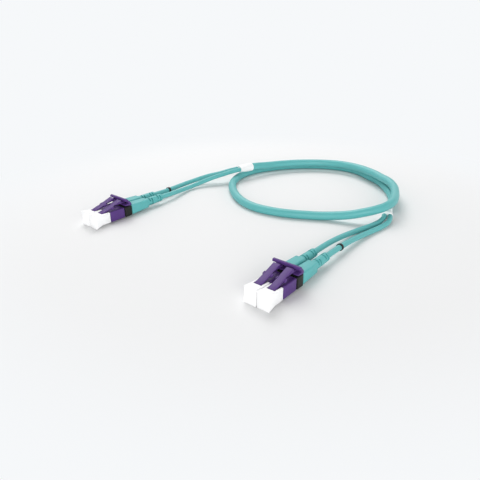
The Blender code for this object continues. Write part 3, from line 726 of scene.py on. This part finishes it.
PLUG_SPOT = {plug: (SPOT[f"{plug}1"] + SPOT[f"{plug}2"]) / 2 for plug in "ab"}


def rod(radius, front, rear, sides, x=0.0, z=0.0):
    """A plain round bar along y."""
    return revolved([(0, rear), (radius, rear), (radius, front), (0, front)], sides, x, z)


def pin_bar(radius, half_length):
    """A round bar across the plug, in the trigger's pivot."""
    bar = rod(radius, -half_length, half_length, PIN_SIDES)
    bar.transform(Matrix.Translation((0, *PIVOT)) @ Matrix.Rotation(math.radians(90), 4, "Z"))
    return bar


def clip_shape():
    """The clip, bored for both crimp bodies, with its knuckles."""
    half = CLIP["width"] / 2
    whole = rounded(brick((-half, half), CLIP["y"], CLIP["z"]), CLIP["edge"], segments=4)
    arc = [(PIVOT[0] + KNUCKLE["radius"] * math.cos(a), PIVOT[1] + KNUCKLE["radius"] * math.sin(a))
           for a in np.linspace(0.0, math.pi, KNUCKLE["points"])]
    outline = arc + [(arc[-1][0], KNUCKLE["root"]), (arc[0][0], KNUCKLE["root"])]
    knuckles = [plate(outline, KNUCKLE["width"], side * KNUCKLE["x"]) for side in (-1, 1)]
    whole = carved(whole, knuckles, "UNION")
    front, rear = CLIP["y"]
    bores = [rod(CLIP["bore"], front - OVERLAP, rear + OVERLAP, BORE_SIDES,
                 side * PITCH / 2, AXIS_Z) for side in (-1, 1)]
    return smoothed(carved(whole, bores + [pin_bar(PIN_RADIUS + PIN_PLAY, half)]))


black_plastic = moulded("black_moulding", BLACK, roughness=0.42, variation=0.3, shine=0.3)
mesh = clip_shape()
for plug, spot in PLUG_SPOT.items():
    fitted(f"duplex_clip_{plug}", mesh.copy(), black_plastic, spot, "cord", [f"{plug}_duplex_clip"])


# ---------------------------------------------------------------- triggers
# One purple lever for both arms: a bar over the arms' tongues, on a sloping web whose pin turns in
# the clip's knuckles. Bar, web and pin are moulded as one.

TRIGGER_WIDTH = 12.3
BAR_WIDTH = 12.9
NOTCH = {"play": 0.2, "reach": 1.2, "below": 2, "above": 1.1}
PIN_INSET = 0.2
BAR_OUTLINE = [(19.1, 9.9), (19.1, 10.8), (19.4, 11.05), (20.3, 11.05), (20.8, 10.65), (20.3, 9.9)]
WEB_OUTLINE = [(19.1, 9.9), (19.1, 10.8), (19.4, 11.05), (20.3, 11.05), (20.9, 10.6), (23.1, 8.2),
               (23.2, 7.4), (22.9, 6.95), (22.0, 6.95), (19.0, 7.4), (19.0, 7.8), (21.5, 8.1),
               (20.3, 9.9)]


def trigger_shape():
    """The lever, notched round the knuckles."""
    half = KNUCKLE["width"] / 2 + NOTCH["play"]
    notches = [brick((side * KNUCKLE["x"] - half, side * KNUCKLE["x"] + half),
                     (PIVOT[0] - NOTCH["reach"], PIVOT[0] + NOTCH["reach"]),
                     (PIVOT[1] - NOTCH["below"], PIVOT[1] + NOTCH["above"]))
               for side in (-1, 1)]
    web = carved(plate(WEB_OUTLINE, TRIGGER_WIDTH), notches)
    whole = rounded(carved(web, [plate(BAR_OUTLINE, BAR_WIDTH)], "UNION"), SMALL_EDGE,
                    segments=2, sharper_than=40)
    pin = pin_bar(PIN_RADIUS, TRIGGER_WIDTH / 2 - PIN_INSET)
    return smoothed(carved(whole, [pin], "UNION"), angle=35)


mesh = trigger_shape()
for plug, spot in PLUG_SPOT.items():
    fitted(f"trigger_{plug}", mesh.copy(), purple_plastic, spot, f"{plug}_trigger_lever",
           [f"{plug}_trigger"])


# ---------------------------------------------------------------- dust caps
# A white cap over each nose keeps dust off the ferrule. It flares at its front to be gripped, and
# has a slot on top for the latch arm. Moulded in soft polyethylene.

CAP_FACE_WIDTH = 5.85
CAP_REAR_WIDTH = 5.75
CAP_END = 9.1
CAP_OUTLINE = [(0.0, 0.0), (3.7, 1.2), (9.1, 1.17), (9.1, 6.7), (4.6, 6.95), (0.0, 7.6)]
CAP_EDGE = 0.25
CAP_WALL = 1.0
CAP_POCKET = 4.72
CAP_SLOT = {"width": 3.9, "front": 4.6}


def cap_shape():
    """The flared shell with its pocket and its slot."""
    shell = plate(CAP_OUTLINE, CAP_FACE_WIDTH)
    for vertex in shell.vertices:
        vertex.co.x *= 1 - (1 - CAP_REAR_WIDTH / CAP_FACE_WIDTH) * vertex.co.y / CAP_END
    shell = rounded(shell, CAP_EDGE, sharper_than=12)
    half, rear = CAP_POCKET / 2, CAP_END + OVERLAP
    pocket = brick((-half, half), (CAP_WALL, rear), (AXIS_Z - half, AXIS_Z + half))
    slot = brick((-CAP_SLOT["width"] / 2, CAP_SLOT["width"] / 2), (CAP_SLOT["front"], rear),
                 (AXIS_Z, 2 * AXIS_Z))
    return smoothed(carved(shell, [pocket, slot]))


def white_polyethylene():
    """Soft white plastic, a little uneven in its tone and gloss."""
    finish = Finish("white_polyethylene")
    cloud = finish.noise(1.5 * MM, 3.0)
    finish.set(base_color=finish.tint((0.94, 0.94, 0.94), (0.97, 0.97, 0.97), cloud),
               roughness=finish.between(0.4, 0.5, cloud),
               normal=finish.grain(0.2 * MM, 0.006 * MM))
    return finish.material


white_cap = white_polyethylene()
mesh = cap_shape()
for c in CONNECTORS:
    fitted(f"dust_cap_{c}", mesh.copy(), white_cap, SPOT[c], f"{c}_cap", [f"{c}_dust_cap"])


# ---------------------------------------------------------------- studio
# A pale dish of a floor that glows outside the cord's own ground, so that the shadows fade into one
# plain tone. A soft light hangs behind the cord to the left, and one of the same size stands low in
# front to the right. The camera stands where the photograph's was worked out to be.

# In metres, but for the camera's places.
FLAT_RINGS = (0.4, 0.8, 1.2)
FLOOR_SIDES = 96
RIM_REACH = 0.8
RIM_HEIGHT = 1.25
RIM_STEPS = 10
GROUND_WHITE = (0.84, 0.84, 0.84)
BACKDROP = (0.922, 0.939, 0.955)
UNLIT = (0.0, 0.0, 0.0)
GROUND = {"middle": (0.0, 0.06, 0.0), "lit_to": 0.11, "plain_from": 0.19}
LIGHT_SIZE = 0.8
LIGHTS = {"key": {"place": (-0.52, 0.44, 0.88), "power": 8.7},
          "front": {"place": (0.8, -0.85, 0.3), "power": 8.0}}
DAYLIGHT = {"Color": (1.0, 1.0, 1.0, 1.0), "Strength": 0.3}
CAMERA = {"lens": 35.0, "place": (144.98, -145.54, 98.51), "aim": (14.38, 15.58, 0.0),
          "nearest": 0.005}


def pale_ground():
    """A matt ground near the cord that turns into the backdrop's even glow around it."""
    finish = Finish("pale_ground")
    reach = finish.node("ShaderNodeVectorMath", {"operation": "DISTANCE"},
                        {0: finish.place(), 1: GROUND["middle"]}, output=1)
    away = finish.node("ShaderNodeMapRange", {"interpolation_type": "SMOOTHSTEP"},
                       {"Value": reach, "From Min": GROUND["lit_to"],
                        "From Max": GROUND["plain_from"]})
    finish.set(base_color=finish.tint(GROUND_WHITE, UNLIT, away),
               emission_color=finish.tint(UNLIT, BACKDROP, away), emission_strength=1.0,
               roughness=0.8, specular_ior_level=0.0)
    return finish.material


def placed(name, data, place, aim=None):
    """An object of the studio in its place, turned to look at a point if one is given."""
    obj = bpy.data.objects.new(name, data)
    bpy.context.scene.collection.objects.link(obj)
    obj.location = place
    if aim is not None:
        obj.rotation_mode = "QUATERNION"
        obj.rotation_quaternion = (Vector(aim) - obj.location).to_track_quat("-Z", "Y")
    return obj


def floor_shape():
    """A round floor whose rim curves up."""
    outline = [(radius, 0.0) for radius in FLAT_RINGS]
    for turn in np.linspace(1 / RIM_STEPS, 1.0, RIM_STEPS):
        angle = turn * math.pi / 2
        outline.append((FLAT_RINGS[-1] + RIM_REACH * math.sin(angle),
                        RIM_HEIGHT * (1 - math.cos(angle))))
    bm = bmesh.new()
    rings = [[bm.verts.new((0, 0, 0))]]
    for radius, z in outline:
        rings.append([bm.verts.new((radius * math.cos(t), radius * math.sin(t), z))
                      for t in round_turns(FLOOR_SIDES)])
    for first, second in zip(rings, rings[1:]):
        for i in range(FLOOR_SIDES):
            n = (i + 1) % FLOOR_SIDES
            corners = [first[i % len(first)], second[i], second[n], first[n % len(first)]]
            bm.faces.new(list(dict.fromkeys(corners)))
    mesh = bpy.data.meshes.new("studio_floor")
    bm.to_mesh(mesh)
    bm.free()
    mesh.shade_smooth()
    return mesh


floor = placed("studio_floor", floor_shape(), (0, 0, 0))
floor.data.materials.append(pale_ground())

for name, light in LIGHTS.items():
    lamp = bpy.data.lights.new(name, "AREA")
    lamp.size = LIGHT_SIZE
    lamp.energy = light["power"]
    placed(name, lamp, light["place"], GROUND["middle"])

world = bpy.data.worlds.new("studio")
world.use_nodes = True
for name, value in DAYLIGHT.items():
    world.node_tree.nodes["Background"].inputs[name].default_value = value
bpy.context.scene.world = world
bpy.context.scene.view_settings.view_transform = "Standard"

camera_data = bpy.data.cameras.new("camera")
camera_data.lens = CAMERA["lens"]
camera_data.clip_start = CAMERA["nearest"]
bpy.context.scene.camera = placed("camera", camera_data, Vector(CAMERA["place"]) * MM,
                                  Vector(CAMERA["aim"]) * MM)
